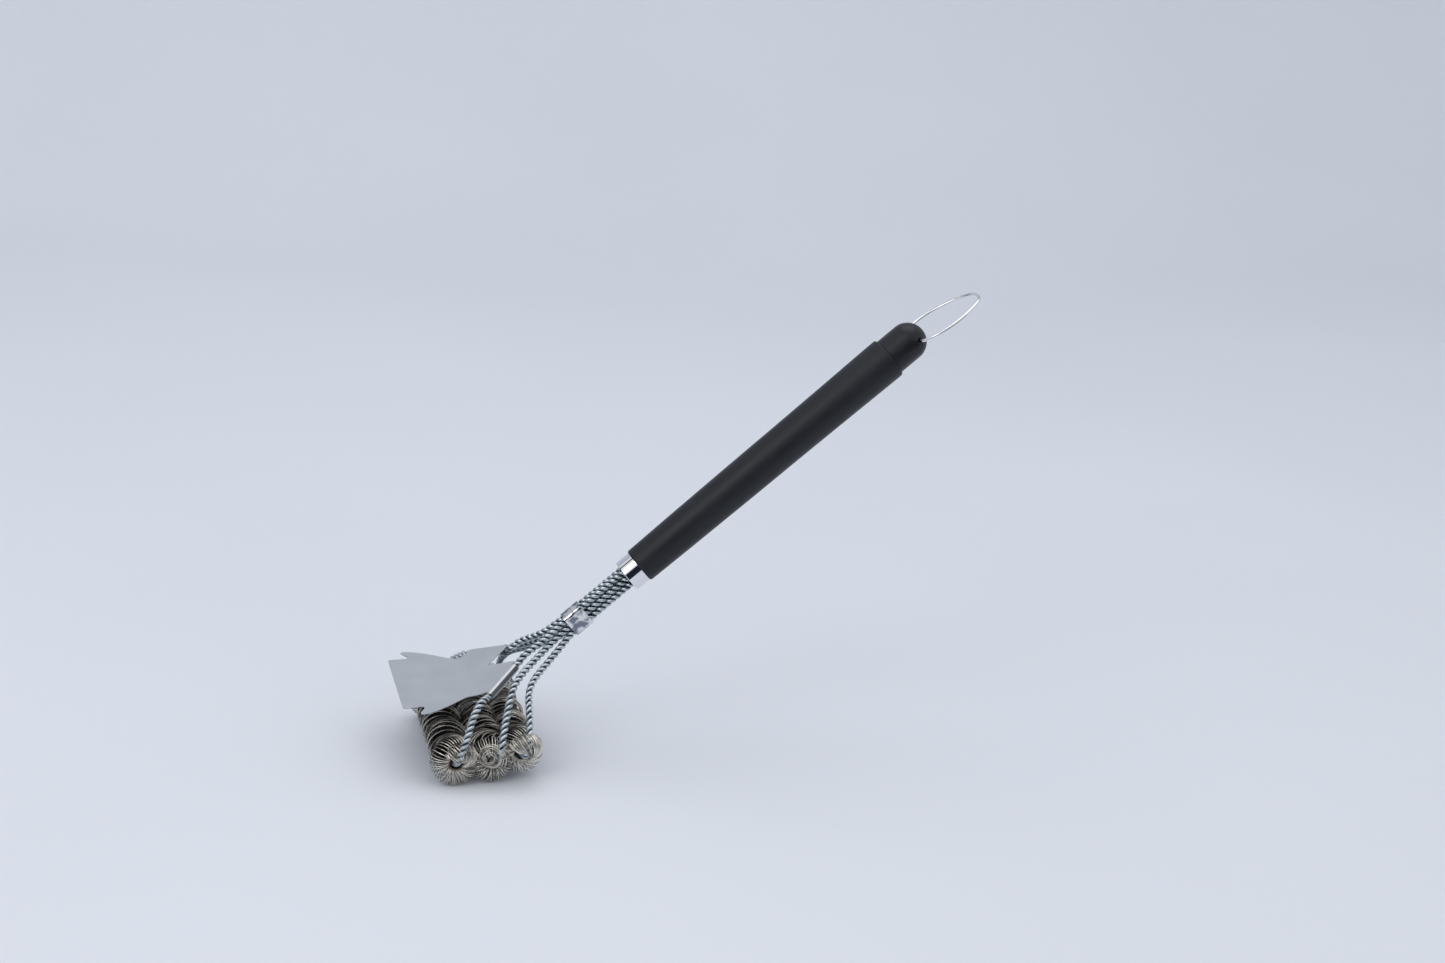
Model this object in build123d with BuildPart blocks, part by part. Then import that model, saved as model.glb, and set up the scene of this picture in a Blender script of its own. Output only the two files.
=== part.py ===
from build123d import *
import math
import os

# Grill cleaning brush: three rows of coiled scrubbing wire carried on twisted
# rods, a folded scraper blade rolled round the front rod, a clip that bundles
# the rods, and a tubular handle with a plastic grip, end cap and hanging loop.
#
# Frame, millimetres: +X runs along the tool towards the handle, +Y across the
# head, +Z up. z = 0 is the level face the front coil rests on, and the origin
# lies under the front coil, 2.4 mm ahead of its axis. "Near" is the -Y side of
# the head and "far" the +Y side. A station is a distance along the handle axis,
# from 0 at the grip's lower end, growing towards the end cap.

os.makedirs("parts", exist_ok=True)

# Handle axis: a line in the XZ plane that climbs away from the head
HANDLE_DEG = 41.9
GRIP_X, GRIP_Z = 123.6, 121.9          # station 0
AXIS_COS = math.cos(math.radians(HANDLE_DEG))
AXIS_SIN = math.sin(math.radians(HANDLE_DEG))
AXIS_DIR = (AXIS_COS, 0, AXIS_SIN)
AXIS_UP = Vector(-AXIS_SIN, 0, AXIS_COS)   # square to the handle axis, upwards

# Fit shared by the handle parts
FIT_GAP = 0.03                         # radial gap between fitted parts

# Handle tube
TUBE_OD, TUBE_ID = 22.0, 20.0
TUBE_FRONT, TUBE_BACK = -10.4, 200.0
TUBE_BEVEL = 0.25                      # inside the front end
# outer front edge: (behind the front end, in from the outside)
TUBE_LIP = [(0.5, 0), (0.12, 0.16), (0, 0.5)]

# Grip sleeve: (station, diameter)
GRIP_LEN = 208.5
GRIP_FRONT_LIP = [(0.35, 22.9)]
GRIP_SIDE = [(1.2, 23.7), (38, 24.8), (64, 25.4), (90, 25.9), (115, 26.2),
             (141, 26.7), (166, 27.2), (192, 27.9), (207.4, 28.2)]
GRIP_BACK_LIP = [(208.2, 27.8), (GRIP_LEN, 27.1)]
BORE_SPLIT = 0.4                       # station of an extra point on the bore line

# End cap
CAP_R = 25.1 / 2                       # radius of the body and of its domed end
CAP_LEN = 28.1                         # visible length behind the grip
CAP_CLEARANCE = 0.02                   # between the grip's end and the cap
CAP_EDGE = 0.4                         # bevel of the visible body
CAP_PLUG_LEN = 20.0
CAP_PLUG_BEVEL = 0.6
CAP_HOLLOW_R = 7.6
CAP_HOLLOW_EXTRA = 6                   # depth of the hollow beyond the plug
PIVOT_STATION = 230.0                  # cross hole for the hanging loop
PIVOT_HOLE_D = 2.12
SINK_Y = 10.1                          # where the countersinks start, each side
SINK_DEPTH, SINK_DEG = 3.0, 38

# Hanging loop, drooped a little below the handle axis
LOOP_WIRE_D = 2.0
LOOP_DROOP_DEG = 7.2
LOOP_BEND = 9.0
LOOP_TIP = 48.9
# half of the loop's line: (distance from the pivot, half width)
LOOP_SIDE = [(0, 4.0), (0, 13.6), (2.2, 15.6), (6.4, 17.8), (10.5, 19.1),
             (15.5, 19.8), (20.7, 19.7), (26.7, 18.5), (32.7, 16.6), (38.2, 14.2),
             (42.6, 11.7), (45.8, 8.9), (48.0, 5.4), (48.8, 1.9)]

# Rods: each is a pair of wires, laid here side by side on the rod's line
WIRE_D = 2.35
PAIR_PITCH = 2.39                      # centre distance of the two wires
LAYER = 4.8                            # distance between the layers of the bundle
COLUMN = 2.4                           # half distance between the two columns
# stations of a rod from its end in the tube to just beyond the clip
BUNDLE_STATIONS = (45.0, 30, 12, -8, -25, -42, -50, -59)
# (length of the short straights, bend radius between them), in order of choice
WIRE_TRIALS = ((5.0, 5.0), (5.4, 5.0), (5.8, 5.5), (4.6, 4.5), (6.2, 6.0), (5.2, 4.8))
VOLUME_TOLERANCE = 0.01                # share by which a sound wire's volume may be off
ROLL_FROM, ROLL_TO = 0.30, 0.70        # share of the line over which a pair is rolled

# Slot for the six rods, and the parts around it
SLOT_W, SLOT_H, SLOT_CORNER = 9.7, 14.55, 1.9
PLUG_FRONT, PLUG_BACK = -9.6, 12.0
PLUG_CHAMFER = 0.3
CRIMP_FRONT, CRIMP_BACK = 28.0, 40.0
CRIMP_T = 1.0
CRIMP_GAP_W, CRIMP_GAP_H = 0.8, 4
CLIP_FRONT, CLIP_BACK = -58.2, -44.8
CLIP_T = 0.55
CLIP_CORNER = 2.3                      # inner corner radius
CLIP_SEAM_W = 0.7
EAR_H, EAR_OFFSET = 1.9, 0.1           # height, and start beyond the slot's edge

# Rows: coil axis (x, z); radius of the body; end rings by their place along Y,
# radius to the lobe's centre and lobe radius; half length of the rod's straight
# core; layer of the rods in the bundle
ROWS = {
    "front": dict(x=2.4, z=15.0, body=13.2, ring_y=51.9, ring_r=8.2, lobe=6.8,
                  core_half=52.0, layer=1),
    "middle": dict(x=25.4, z=15.2, body=13.2, ring_y=50.5, ring_r=8.2, lobe=6.8,
                   core_half=51.0, layer=0),
    "rear": dict(x=43.4, z=18.3, body=12.6, ring_y=47.2, ring_r=7.9, lobe=6.4,
                 core_half=47.6, layer=-1),
}
NEIGHBOURS = {"front": ["middle"], "middle": ["front", "rear"], "rear": ["middle"]}
CORE_SHARES = (-1, -0.66, -0.33, 0, 0.33, 0.66, 1)
TUNNEL_R = 3.0                         # tunnel along each coil
FLARE_R = 9.8                          # its flared mouths
FLARE_START = 7.0                      # start of the flare, inward of the end ring
TUNNEL_OVERRUN = 1                     # cut beyond the coil's ends and axis
NEST_GAP = 0.12                        # between the flats where coils meet

# Scraper plate
PLATE_T = 0.4
BEND_X, BEND_Z = 16.7, 49.45
BEND_R_TOP, BEND_R_BOTTOM = 13.3, 14.0
BEND_SHIFT = 0.15                      # of the lower face's bend, along X
SLOPE_FRONT, SLOPE_REAR = math.radians(4.2), math.radians(29.2)
STRIP_FRONT_X, STRIP_REAR_X = -32.0, 47.0
STRIP_HALF_W = 56
TRIM_H = 90                            # height of the block that trims the plan
# half of the plan outline, (x, y), from the front edge to the rear corner
FRONT_OUTLINE = [(-28.4, 37.0), (-27.9, 38.6), (-26.4, 39.2), (-17.0, 38.7),
                 (-15.6, 40.0), (-16.0, 42.2), (-18.6, 47.0), (-19.1, 49.2),
                 (-18.1, 50.5), (-16.5, 50.6), (-13.0, 49.4)]
FLANK = [(-13.0, 49.4), (-6.0, 45.6), (1.0, 40.4), (8.0, 34.4), (13.0, 31.2),
         (16.8, 31.2), (20.2, 32.7), (24.1, 34.44)]
REAR_CORNER = [(43.4, 14.5), (43.9, 13.2), (43.0, 12.0)]
NOTCH_X, NOTCH_R = 31.6, 2.1           # blunt bottom of the rear notch

# Hems rolled round the front rod
HEM_OD, HEM_ID = 5.9, 4.95
HEM_FROM, HEM_TO = 0.03, 0.95          # the hem's share of the rear edge
HEM_GAP_AT = (1.2, 2.3)                # centre of the gap, from the rod line
HEM_GAP_SIZE = (0.9, 2.2)
PLATE_UP = Vector(-math.sin(SLOPE_REAR), 0, math.cos(SLOPE_REAR))
# rod line under the +Y rear edge, half a hem below the plate's top face
HEM_START = Vector(22.67, 35.94, 52.79) - PLATE_UP * (HEM_OD / 2)
HEM_END = Vector(43.27, 14.54, 64.30) - PLATE_UP * (HEM_OD / 2)


def hem_at(share):
    """Point on the hem's rod line, from 0 at its front end to 1 at its rear."""
    return HEM_START + (HEM_END - HEM_START) * share


# Legs, (x, distance from the middle plane, z), from the clip down to the coil
FRONT_TOP = [
    (71.6, 3.4, 81.9), (66.0, 4.7, 77.0), (60.2, 7.3, 73.0), (54.6, 9.7, 70.2),
    (50.0, 11.4, 67.3),
    *[hem_at(share) for share in (1.07, 1.0, 0.75, 0.5, 0.25, 0.07)],
    hem_at(-0.03) - Vector(0, 0, 0.15)]
LEGS = {
    "front": {
        "near": FRONT_TOP + [
            (21.2, 40.1, 50.4), (18.8, 42.6, 50.1), (16.6, 45.2, 48.2), (12.4, 51.0, 43.0),
            (8.4, 58.3, 33.5), (5.8, 60.8, 26.9), (3.9, 61.0, 21.5), (2.9, 58.4, 16.9)],
        "far": FRONT_TOP + [
            (21.2, 39.8, 49.2), (18.4, 43.2, 46.2), (14.2, 48.8, 41.4), (9.0, 57.3, 32.8),
            (6.0, 60.8, 26.6), (3.9, 61.0, 21.5), (2.9, 58.4, 16.9)]},
    "middle": {
        "near": [
            (74.0, 3.2, 77.3), (66.0, 6.2, 70.3), (57.3, 13.0, 65.0), (48.3, 21.6, 60.2),
            (41.4, 29.8, 55.3), (37.9, 36.0, 49.9), (35.4, 42.5, 43.4), (32.6, 50.0, 37.0),
            (30.6, 56.8, 30.5), (29.3, 60.0, 25.2), (27.6, 58.2, 19.6)],
        "far": [
            (74.1, 3.2, 77.4), (66.1, 6.5, 70.8), (58.0, 12.6, 66.2), (50.0, 19.8, 61.6),
            (43.6, 27.8, 56.1), (39.2, 34.7, 49.8), (36.2, 41.9, 43.3), (33.0, 50.0, 36.8),
            (30.8, 56.8, 30.3), (29.3, 60.0, 25.0), (27.6, 58.2, 19.6)]},
    "rear": {
        "near": [
            (76.2, 5.8, 72.4), (66.4, 12.9, 63.9), (59.2, 19.1, 58.9), (53.2, 25.9, 54.9),
            (50.0, 32.0, 49.4), (48.8, 43.4, 43.0), (47.9, 52.6, 33.8), (47.0, 58.0, 27.4),
            (45.9, 59.6, 23.4), (44.7, 58.2, 19.7)],
        "far": [
            (76.0, 5.6, 72.7), (65.4, 12.4, 65.2), (56.0, 20.0, 60.1), (48.6, 27.6, 55.2),
            (45.4, 32.8, 49.6), (45.6, 43.0, 43.2), (46.4, 52.4, 33.6), (46.6, 58.0, 27.4),
            (45.8, 59.6, 23.4), (44.7, 58.2, 19.7)]},
}


# ------------------------------------------------------------------- helpers
def on_axis(station, above=0.0, y=0.0):
    """Point at a station of the handle axis, moved up square to it and along Y."""
    return (GRIP_X + AXIS_COS * station - AXIS_SIN * above, y,
            GRIP_Z + AXIS_SIN * station + AXIS_COS * above)


handle_axis = Axis(on_axis(0), AXIS_DIR)
# sketch plane through the handle axis: local x along it, local y square to it, upwards
handle_plane = Plane(origin=on_axis(0), x_dir=AXIS_DIR, z_dir=(0, -1, 0))


def across(station):
    """Plane square to the handle axis: local x is -Y, local y points downwards."""
    return Plane(origin=on_axis(station), x_dir=(0, -1, 0), z_dir=AXIS_DIR)


def radii(stations):
    """Turn (station, diameter) into (station, radius)."""
    return [(station, diameter / 2) for station, diameter in stations]


def finish(builder, name):
    builder.part.label = name
    export_step(builder.part, f"parts/{name}.step")


def lay_wire(points, bend):
    """Draw a bent wire's line as short straights joined by tangent arcs."""
    start = points[0]
    for before, corner, after in zip(points[:-2], points[1:-1], points[2:]):
        dir_in = (corner - before).normalized()
        dir_out = (after - corner).normalized()
        turn = math.radians(dir_in.get_angle(dir_out))
        if turn < math.radians(0.4):   # as good as straight
            continue
        # the arc leaves some of each straight standing
        reach = min(bend * math.tan(turn / 2), 0.45 * (corner - start).length,
                    0.45 * (after - corner).length)
        radius = reach / math.tan(turn / 2)
        inward = (dir_out - dir_in).normalized()
        centre = corner + inward * (radius / math.cos(turn / 2))
        arc_end = corner + dir_out * reach
        Line(start, corner - dir_in * reach)
        ThreePointArc(corner - dir_in * reach, centre - inward * radius, arc_end)
        start = arc_end
    Line(start, points[-1])


def sweep_wire(points, bend, diameter):
    """Round wire along the points: its builder and the length of its line."""
    with BuildPart() as wire:
        with BuildLine() as line:
            lay_wire(points, bend)
        with BuildSketch(Plane(origin=points[0], z_dir=(points[1] - points[0]).normalized())):
            Circle(diameter / 2)
        sweep(path=line.wires()[0], transition=Transition.RIGHT)
    return wire, line.wires()[0].length


# -------------------------------------------------------------- handle parts
def build_handle_tube():
    outer, inner = TUBE_OD / 2, TUBE_ID / 2
    with BuildPart() as tube:
        with BuildSketch(handle_plane):
            with BuildLine():
                Polyline((TUBE_FRONT, inner + TUBE_BEVEL), (TUBE_FRONT + TUBE_BEVEL, inner),
                         (TUBE_BACK, inner), (TUBE_BACK, outer),
                         *[(TUBE_FRONT + back, outer - depth) for back, depth in TUBE_LIP],
                         close=True)
            make_face()
        revolve(axis=handle_axis)
    finish(tube, "handle_tube")


def build_grip_sleeve():
    bore = TUBE_OD / 2 + FIT_GAP
    side = radii(GRIP_SIDE)
    with BuildPart() as grip:
        with BuildSketch(handle_plane):
            with BuildLine():
                Polyline((GRIP_LEN, bore), (BORE_SPLIT, bore), (0.0, bore),
                         *radii(GRIP_FRONT_LIP), side[0])
                Spline(*side)
                Polyline(side[-1], *radii(GRIP_BACK_LIP), (GRIP_LEN, bore))
            make_face()
        revolve(axis=handle_axis)
    finish(grip, "grip_sleeve")


def build_end_cap():
    body_front = GRIP_LEN + CAP_CLEARANCE
    plug_front = body_front - CAP_PLUG_LEN
    cap_end = GRIP_LEN + CAP_LEN
    plug_r = TUBE_ID / 2 - FIT_GAP
    with BuildPart() as cap:
        with BuildSketch(handle_plane):
            with BuildLine():
                Polyline((cap_end, 0), (plug_front, 0), (plug_front, plug_r - CAP_PLUG_BEVEL),
                         (plug_front + CAP_PLUG_BEVEL, plug_r), (body_front, plug_r),
                         (body_front, CAP_R - CAP_EDGE), (body_front + CAP_EDGE, CAP_R),
                         (cap_end - CAP_R, CAP_R))
                RadiusArc((cap_end - CAP_R, CAP_R), (cap_end, 0), CAP_R)
            make_face()
        revolve(axis=handle_axis)
        # hollow of the plug
        with BuildSketch(across(plug_front)):
            Circle(CAP_HOLLOW_R)
        extrude(amount=CAP_PLUG_LEN + CAP_HOLLOW_EXTRA, mode=Mode.SUBTRACT)
        # cross hole and its countersinks
        with BuildSketch(Plane(origin=on_axis(PIVOT_STATION), x_dir=AXIS_DIR, z_dir=(0, 1, 0))):
            Circle(PIVOT_HOLE_D / 2)
        extrude(amount=20, both=True, mode=Mode.SUBTRACT)
        for side in (-1, 1):
            with BuildSketch(Plane(origin=on_axis(PIVOT_STATION, y=side * SINK_Y),
                                   x_dir=AXIS_DIR, z_dir=(0, side, 0))):
                Circle(PIVOT_HOLE_D / 2)
            extrude(amount=SINK_DEPTH, taper=-SINK_DEG, mode=Mode.SUBTRACT)
    finish(cap, "end_cap")


def build_hanging_loop():
    angle = math.radians(HANDLE_DEG - LOOP_DROOP_DEG)
    loop_plane = Plane(origin=on_axis(PIVOT_STATION),
                       x_dir=(math.cos(angle), 0, math.sin(angle)),
                       z_dir=(math.sin(angle), 0, -math.cos(angle)))
    mirrored = [(along, -half) for along, half in reversed(LOOP_SIDE)]
    outline = LOOP_SIDE + [(LOOP_TIP, 0)] + mirrored
    points = [loop_plane.from_local_coords((along, half, 0)) for along, half in outline]
    loop, _ = sweep_wire(points, LOOP_BEND, LOOP_WIRE_D)
    finish(loop, "hanging_loop")


# --------------------------------------------------------------- frame wires
def half_frame(row_name, side_name, side):
    """One rod in the bundle and the leg that follows it, down to the coil."""
    above = ROWS[row_name]["layer"] * LAYER
    rod = [on_axis(station, above, side * COLUMN) for station in BUNDLE_STATIONS]
    return rod + [(x, side * y, z) for x, y, z in LEGS[row_name][side_name]]


def frame_path(row_name):
    """Near rod and leg, coil core, far leg and rod as one run of points."""
    row = ROWS[row_name]
    core = [(row["x"], row["core_half"] * share, row["z"]) for share in CORE_SHARES]
    return half_frame(row_name, "near", -1) + core + half_frame(row_name, "far", 1)[::-1]


def smooth_run(points, spacing):
    """Round the corners of a run of points and space it evenly."""
    run = [Vector(*point) for point in points]
    for _ in range(3):
        cut = [run[0]]
        for here, ahead in zip(run[:-1], run[1:]):
            cut += [here * 0.75 + ahead * 0.25, here * 0.25 + ahead * 0.75]
        run = cut + [run[-1]]
    reach = [0.0]                      # length of the run up to each point
    for here, ahead in zip(run[:-1], run[1:]):
        reach.append(reach[-1] + (ahead - here).length)
    count = round(reach[-1] / spacing)
    spaced, j = [], 0
    for i in range(count + 1):
        distance = reach[-1] * i / count
        while j < len(run) - 2 and reach[j + 1] < distance:
            j += 1
        share = (distance - reach[j]) / (reach[j + 1] - reach[j])
        spaced.append(run[j] + (run[j + 1] - run[j]) * share)
    return spaced


def square_to(vector, direction):
    """Unit vector: the part of a vector that is square to a direction."""
    return (vector - direction * vector.dot(direction)).normalized()


def strand_points(points, sign, step):
    """The line of one wire of a pair: the rod line moved sideways by half the
    pair's pitch, with the side carried along the line without needless turning
    and brought back to the bundle's up direction at both ends."""
    line = smooth_run(points, step)
    count = len(line)
    dirs = [(line[min(i + 1, count - 1)] - line[max(i - 1, 0)]).normalized()
            for i in range(count)]
    sides = [square_to(AXIS_UP, dirs[0])]
    for direction in dirs[1:]:
        sides.append(square_to(sides[-1], direction))
    goal = square_to(AXIS_UP, dirs[-1])
    last = sides[-1]
    roll = math.atan2(last.cross(goal).dot(dirs[-1]), last.dot(goal))
    # either wire of the pair may arrive on top
    if roll > math.pi / 2:
        roll -= math.pi
    if roll < -math.pi / 2:
        roll += math.pi
    first, final = int(count * ROLL_FROM), int(count * ROLL_TO)
    strand = []
    for i in range(count):
        angle = roll * min(1.0, max(0.0, (i - first) / (final - first)))
        side = sides[i] * math.cos(angle) + dirs[i].cross(sides[i]) * math.sin(angle)
        strand.append(line[i] + side * (sign * PAIR_PITCH / 2))
    return strand


def is_sound(wire, length):
    """One valid solid, with the volume a wire of this length should have."""
    due = math.pi * WIRE_D ** 2 / 4 * length
    return (len(wire.part.solids()) == 1 and wire.part.is_valid
            and abs(wire.part.volume / due - 1) < VOLUME_TOLERANCE)


def build_frame_wires(row_name):
    """Both wires of a pair, laid with the first steps that give two sound sweeps."""
    path = frame_path(row_name)
    for step, bend in WIRE_TRIALS:
        pair = []
        for letter, sign in (("a", 1), ("b", -1)):
            wire, length = sweep_wire(strand_points(path, sign, step), bend, WIRE_D)
            if is_sound(wire, length):
                pair.append((letter, wire))
        if len(pair) == 2:
            break
    for letter, wire in pair:
        finish(wire, f"{row_name}_frame_wire_{letter}")


# --------------------------------------------------------------------- coils
def coil_centre(row_name):
    return Vector(ROWS[row_name]["x"], 0, ROWS[row_name]["z"])


def build_coil(row_name):
    row = ROWS[row_name]
    centre = coil_centre(row_name)
    ring_y, ring_r = row["ring_y"], row["ring_r"]
    cut_end = ring_y + row["lobe"] + TUNNEL_OVERRUN
    flare_y = ring_y - FLARE_START
    with BuildPart() as coil:
        # local x is Y, local y is Z
        with BuildSketch(Plane(origin=centre, x_dir=(0, 1, 0), z_dir=(1, 0, 0))):
            with Locations((0, row["body"] / 2)):
                Rectangle(2 * ring_y, row["body"])
            with Locations((-ring_y, ring_r), (ring_y, ring_r)):
                Circle(row["lobe"])
            # tunnel for the rod, flared where the rod bends in at each end
            with BuildLine():
                Polyline((-cut_end, -TUNNEL_OVERRUN), (-cut_end, FLARE_R), (-flare_y, TUNNEL_R),
                         (flare_y, TUNNEL_R), (cut_end, FLARE_R), (cut_end, -TUNNEL_OVERRUN),
                         close=True)
            make_face(mode=Mode.SUBTRACT)
        revolve(axis=Axis(centre, (0, 1, 0)))
        # flats where neighbouring coils nest into each other
        for neighbour in NEIGHBOURS[row_name]:
            other = coil_centre(neighbour)
            outward = (other - centre).normalized()
            base = (centre + other) * 0.5 - outward * (NEST_GAP / 2)
            split(bisect_by=Plane(origin=base, z_dir=outward), keep=Keep.BOTTOM)
    finish(coil, f"{row_name}_coil")


# ------------------------------------------------------------- scraper plate
def build_scraper_plate():
    top_front = (STRIP_FRONT_X, BEND_Z + (STRIP_FRONT_X - BEND_X) * math.tan(SLOPE_FRONT))
    top_rear = (STRIP_REAR_X, BEND_Z + (STRIP_REAR_X - BEND_X) * math.tan(SLOPE_REAR))
    low_front = (top_front[0], top_front[1] - PLATE_T)
    low_bend = (BEND_X + BEND_SHIFT, BEND_Z - PLATE_T)
    low_rear = (top_rear[0] + PLATE_T * math.sin(SLOPE_REAR),
                top_rear[1] - PLATE_T * math.cos(SLOPE_REAR))
    with BuildPart() as plate:
        # bent strip: a side profile drawn out across the head
        with BuildSketch(Plane.XZ):
            with BuildLine():
                FilletPolyline(top_front, (BEND_X, BEND_Z), top_rear, radius=BEND_R_TOP)
                FilletPolyline(low_front, low_bend, low_rear, radius=BEND_R_BOTTOM)
                Line(top_front, low_front)
                Line(top_rear, low_rear)
            make_face()
        extrude(amount=STRIP_HALF_W, both=True)
        # plan outline
        with BuildSketch(Plane.XY):
            with BuildLine():
                for side in (1, -1):
                    front = [(x, side * y) for x, y in FRONT_OUTLINE]
                    flank = [(x, side * y) for x, y in FLANK]
                    corner = [(x, side * y) for x, y in REAR_CORNER]
                    Polyline((FRONT_OUTLINE[0][0], 0), *front)
                    Spline(*flank)
                    Polyline(flank[-1], *corner, (NOTCH_X, side * NOTCH_R),
                             (NOTCH_X - NOTCH_R * 0.85, side * NOTCH_R * 0.5),
                             (NOTCH_X - NOTCH_R, 0))
            make_face()
        extrude(amount=TRIM_H, mode=Mode.INTERSECT)
        # hems rolled down and round the front rod, one on each rear edge
        for side in (1, -1):
            start = Vector(HEM_START.X, side * HEM_START.Y, HEM_START.Z)
            end = Vector(HEM_END.X, side * HEM_END.Y, HEM_END.Z)
            edge = end - start
            run = edge * (HEM_TO - HEM_FROM)
            with BuildSketch(Plane(origin=start + edge * HEM_FROM, x_dir=PLATE_UP,
                                   z_dir=run.normalized())):
                Circle(HEM_OD / 2)
                Circle(HEM_ID / 2, mode=Mode.SUBTRACT)
                # the rolled edge stops short of meeting the plate
                with Locations((HEM_GAP_AT[0], side * HEM_GAP_AT[1])):
                    Rectangle(*HEM_GAP_SIZE, mode=Mode.SUBTRACT)
            extrude(amount=run.length)
    finish(plate, "scraper_plate")


# ------------------------------------------------- parts that hold the bundle
def build_bundle_plug():
    with BuildPart() as plug:
        with BuildSketch(across(PLUG_FRONT)):
            Circle(TUBE_ID / 2 - FIT_GAP)
            RectangleRounded(SLOT_W, SLOT_H, SLOT_CORNER, mode=Mode.SUBTRACT)
        extrude(amount=PLUG_BACK - PLUG_FRONT)
        front_face = plug.faces().sort_by(handle_axis)[0]
        chamfer(front_face.outer_wire().edges(), length=PLUG_CHAMFER)
    finish(plug, "bundle_plug")


def build_crimp_band():
    with BuildPart() as band:
        with BuildSketch(across(CRIMP_FRONT)):
            RectangleRounded(SLOT_W + 2 * CRIMP_T, SLOT_H + 2 * CRIMP_T, SLOT_CORNER + CRIMP_T)
            RectangleRounded(SLOT_W, SLOT_H, SLOT_CORNER, mode=Mode.SUBTRACT)
            # gap in the lower side
            with Locations((0, SLOT_H / 2)):
                Rectangle(CRIMP_GAP_W, CRIMP_GAP_H, mode=Mode.SUBTRACT)
        extrude(amount=CRIMP_BACK - CRIMP_FRONT)
    finish(band, "crimp_band")


def build_bundle_clip():
    ear_x = CLIP_SEAM_W / 2 + CLIP_T / 2
    ear_y = SLOT_H / 2 + EAR_H / 2 + EAR_OFFSET
    with BuildPart() as clip:
        with BuildSketch(across(CLIP_FRONT)):
            RectangleRounded(SLOT_W + 2 * CLIP_T, SLOT_H + 2 * CLIP_T, CLIP_CORNER + CLIP_T)
            RectangleRounded(SLOT_W, SLOT_H, CLIP_CORNER, mode=Mode.SUBTRACT)
            # open seam along the lower side, with its two edges turned down as ears
            with Locations((0, SLOT_H / 2 + CLIP_T / 2)):
                Rectangle(CLIP_SEAM_W, CLIP_T * 3, mode=Mode.SUBTRACT)
            with Locations((-ear_x, ear_y), (ear_x, ear_y)):
                Rectangle(CLIP_T, EAR_H)
        extrude(amount=CLIP_BACK - CLIP_FRONT)
    finish(clip, "bundle_clip")


build_handle_tube()
build_grip_sleeve()
build_end_cap()
build_hanging_loop()
for row_name in ROWS:
    build_frame_wires(row_name)
    build_coil(row_name)
build_scraper_plate()
build_bundle_plug()
build_crimp_band()
build_bundle_clip()
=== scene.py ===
"""A wire-coil brush with a scraper plate: three coils on twisted wire frames.

The coils lie along Y just above the floor, front (low X) to rear. Their rods
gather into a handle that rises towards +X. The near side is -Y, the far side +Y.
The product is in mm; the stage, lights and camera are in metres.
"""
import bpy
import math
import numpy as np
from mathutils import Matrix, Vector


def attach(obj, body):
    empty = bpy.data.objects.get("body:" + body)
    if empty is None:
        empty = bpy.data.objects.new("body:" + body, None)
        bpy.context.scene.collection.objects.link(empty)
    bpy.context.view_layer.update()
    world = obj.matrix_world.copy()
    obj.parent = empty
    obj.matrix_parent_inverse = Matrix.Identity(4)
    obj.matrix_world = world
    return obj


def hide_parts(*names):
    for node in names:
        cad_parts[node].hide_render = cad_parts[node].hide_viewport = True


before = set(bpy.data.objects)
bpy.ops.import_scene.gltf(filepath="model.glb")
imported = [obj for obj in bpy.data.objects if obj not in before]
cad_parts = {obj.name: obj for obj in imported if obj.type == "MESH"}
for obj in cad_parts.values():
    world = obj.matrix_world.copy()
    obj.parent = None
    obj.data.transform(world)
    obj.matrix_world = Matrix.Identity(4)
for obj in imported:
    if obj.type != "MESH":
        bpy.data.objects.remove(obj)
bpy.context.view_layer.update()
MM = 0.001

# ---------------------------------------------------------------- dimensions
HANDLE_ANGLE = math.radians(41.9)         # rise of the handle axis above the floor
HANDLE_X, HANDLE_Z = 123.6, 121.9         # origin of the handle axis
BUNDLE_STATIONS = (45, 30, 12, -8, -25, -42, -50, -59)   # along the handle axis
LAYER, COLUMN = 4.8, 2.4                  # rod spacing across the axis, offset in Y

ROD_WIRE_R = 1.18
ROD_SIDES = 12
ROD_STEP = 0.36                           # between rings along a rod

COIL_WIRE_R = 0.27
COIL_SIDES = 6
OUTER_SEGMENTS, INNER_SEGMENTS = 30, 18   # per loop
RUN_POINTS = 2400
RUN_SOFTENING = 31                        # run points averaged together
BODY_RHO = 1.2                            # from the rod to the body's loop centres
BODY_LEAD = 9.5                           # the body stops this far short of the ring
BODY_LAY = 24.0                           # Y per turn of the body's run round the rod
JOIN_TURN = 30                            # degrees from an end to the body
RING_SPACING = 1.02                       # of the loops in an end turn
FLOOR_GAP = 0.02

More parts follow.
